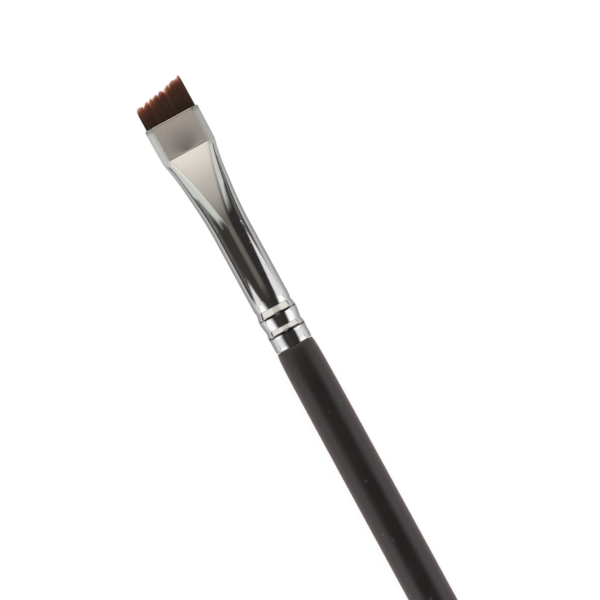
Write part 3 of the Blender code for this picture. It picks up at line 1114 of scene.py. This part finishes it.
def makeFloor():
    deselectAll()
    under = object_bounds()[0][2] - studio["floorGap"]
    bpy.ops.mesh.primitive_plane_add(size=studio["floorSize"], location=(0, 0, under))
    floor = bpy.context.object
    floor.name = "floor"
    material = bpy.data.materials.new("floorWhite")
    tree = emptyTree(material)
    path = addNode(tree, "LightPath").outputs
    x, y = splitAxes(tree, addNode(tree, "TexCoord").outputs["Object"])[:2]
    beside = mathNode(tree, "ABSOLUTE", y)
    side = mathNode(tree, "LESS_THAN", y, 0.0)

    def bySide(values):
        # one value on the +Y side of the brush and another on the -Y side
        return rangeNode(tree, side, 0.0, 1.0, *values)

    # the levels that the chrome mirrors are painted: painted shade close beside the brush, painted pale and
    # dark zones further out
    paintedShadeNear = rangeNode(tree, beside, *studio["paintedShadeReach"], studio["paintedShadeLevel"], studio["mirroredLevel"])
    # painted reflection further out: the turn from pale to dark lies further back on the +Y side
    past = mathNode(tree, "SUBTRACT", x, bySide(studio["farTurns"]))
    past = mathNode(tree, "DIVIDE", past, bySide(studio["farSoftness"]))
    paintedFar = stepNode(tree, past, (-1, 1), studio["farLevel"], studio["farPaintedDark"])
    paintedFar = layerNode(tree, stepNode(tree, x, studio["farAgainFrom"]), paintedFar, studio["farAgain"], kind="FLOAT")
    reach = [bySide(values) for values in zip(*studio["farReach"])]
    level = layerNode(tree, stepNode(tree, beside, reach), paintedShadeNear, paintedFar, kind="FLOAT")
    bounced = mathNode(tree, "MAXIMUM", path["Is Glossy Ray"], path["Is Transmission Ray"])
    direct = multiply(tree, path["Is Camera Ray"], studio["floorLevel"])
    strength = mathNode(tree, "MAXIMUM", direct, multiply(tree, bounced, level))
    share = mathNode(tree, "MAXIMUM", multiply(tree, path["Is Camera Ray"], studio["floorGlow"]), bounced)
    matt = addNode(tree, "BsdfDiffuse", {"Color": studio["floorColor"]}).outputs["BSDF"]
    glow = addNode(tree, "Emission", {"Strength": strength}).outputs["Emission"]
    blend = addNode(tree, "MixShader", {"Fac": share, 1: matt, 2: glow})
    addNode(tree, "OutputMaterial", {"Surface": blend.outputs["Shader"]})
    floor.data.materials.append(material)


def makeStudioLight():
    # a light tent: white walls at both sides of the handle, a warm card towards the tip, and gloom
    # overhead with one narrow opening in it. It lights the brush and is what the chrome reflects.
    world = bpy.data.worlds.new("studio")
    bpy.context.scene.world = world
    tree = emptyTree(world)
    x, y, z = splitAxes(tree, addNode(tree, "TexCoord").outputs["Generated"])
    across = mathNode(tree, "ARCTAN2", mathNode(tree, "ABSOLUTE", y), z)
    signed = mathNode(tree, "ARCTAN2", y, z)
    along = mathNode(tree, "ARCSINE", x)

    def rise(value, edges):
        return angleNode(tree, value, edges)

    def fall(value, edges):
        return angleNode(tree, value, edges, 1.0, 0.0)

    color = layerNode(tree, rise(signed, studio["gloomAcross"]), studio["gloom"], studio["gloomFar"])
    color = layerNode(tree, rise(across, studio["horizonAcross"]), color, studio["horizon"])
    strip = multiply(tree, fall(across, studio["stripAcross"]), rise(along, studio["stripAlong"]))
    color = layerNode(tree, strip, color, studio["strip"])
    slitAlong = multiply(tree, rise(along, studio["slitStarts"]), fall(along, studio["slitEnds"]))
    slit = multiply(tree, slitAlong, fall(across, studio["slitAcross"]))
    color = layerNode(tree, slit, color, studio["slit"])
    card = angleNode(tree, along, studio["cardAlong"], form="LINEAR")
    color = layerNode(tree, card, color, studio["card"])
    wingColor = layerNode(tree, rise(along, studio["wingTopAlong"]), studio["wing"], studio["wingTop"])
    nearSide = mathNode(tree, "LESS_THAN", y, 0.0)
    farSide = mathNode(tree, "GREATER_THAN", y, 0.0)
    for name, onSide in (("nearWing", nearSide), ("farWing", farSide)):
        acrossFrom, softness, starts, *drops = studio[name]
        starts = math.radians(starts)
        for edges, drop in drops:
            closer = angleNode(tree, across, edges, 0.0, math.radians(drop), "LINEAR")
            starts = mathNode(tree, "SUBTRACT", starts, closer)
        wing = rise(mathNode(tree, "SUBTRACT", along, starts), (0, softness))
        wing = multiply(tree, wing, onSide, rise(across, acrossFrom))
        color = layerNode(tree, wing, color, wingColor)
    walls = layerNode(tree, rise(along, studio["wallsTurn"]), studio["wallsFront"], studio["walls"])
    inReach = rise(along, studio["wallsBack"])
    for name, onSide in (("nearWall", nearSide), ("farWall", farSide)):
        reach, rising, falling, begins, ends = studio[name]
        risen = angleNode(tree, across, rising, form="LINEAR")
        edge = multiply(tree, risen, angleNode(tree, across, falling, math.radians(reach), 0.0, "LINEAR"))
        wall = rise(mathNode(tree, "SUBTRACT", edge, along), (0, studio["wallsSoftness"]))
        wall = multiply(tree, wall, onSide, rise(across, begins), fall(across, ends), inReach)
        color = layerNode(tree, wall, color, walls)
    gapAlong = multiply(tree, rise(along, studio["gapStarts"]), fall(along, studio["gapEnds"]))
    gap = multiply(tree, gapAlong, rise(across, studio["gapAcross"]))
    color = layerNode(tree, gap, color, studio["gloom"])
    seen = addNode(tree, "LightPath").outputs["Is Camera Ray"]
    background = addNode(tree, "Background", {"Color": layerNode(tree, seen, color, (1, 1, 1))})
    addNode(tree, "OutputWorld", {"Surface": background.outputs["Background"]})
    # a broad soft lamp overhead brings colours to their own level; the chrome doesn't mirror it
    lamp = bpy.data.lights.new("overhead", "AREA")
    lamp.shape = "SQUARE"
    lamp.size = studio["lampSize"]
    lamp.energy = studio["lampPower"]
    overhead = bpy.data.objects.new("overhead", lamp)
    overhead.location = studio["lampPlace"]
    overhead.rotation_euler = (*map(math.radians, studio["lampTurn"]), 0)
    overhead.visible_glossy = False
    overhead.visible_camera = False
    bpy.context.scene.collection.objects.link(overhead)


cameraSet = {
    "aim": (0.04811, -0.00412),  # what the middle of the picture looks at
    "turn": -118.553,  # degrees about Z
    "frameWidth": 0.09346,
    "distance": 0.45,
    "sensor": 36.0,
    "clip": (0.01, 20),
}


def makeCamera():
    camera = bpy.data.cameras.new("camera")
    camera.sensor_width = cameraSet["sensor"]
    camera.lens = cameraSet["sensor"] * cameraSet["distance"] / cameraSet["frameWidth"]
    camera.clip_start, camera.clip_end = cameraSet["clip"]
    viewer = bpy.data.objects.new("camera", camera)
    viewer.location = (*cameraSet["aim"], axisZ + cameraSet["distance"])
    viewer.rotation_euler = (0, 0, math.radians(cameraSet["turn"]))
    bpy.context.scene.collection.objects.link(viewer)
    bpy.context.scene.camera = viewer


makeFloor()
makeStudioLight()
makeCamera()
bpy.context.scene.view_settings.view_transform = "Standard"
print("studio ready")
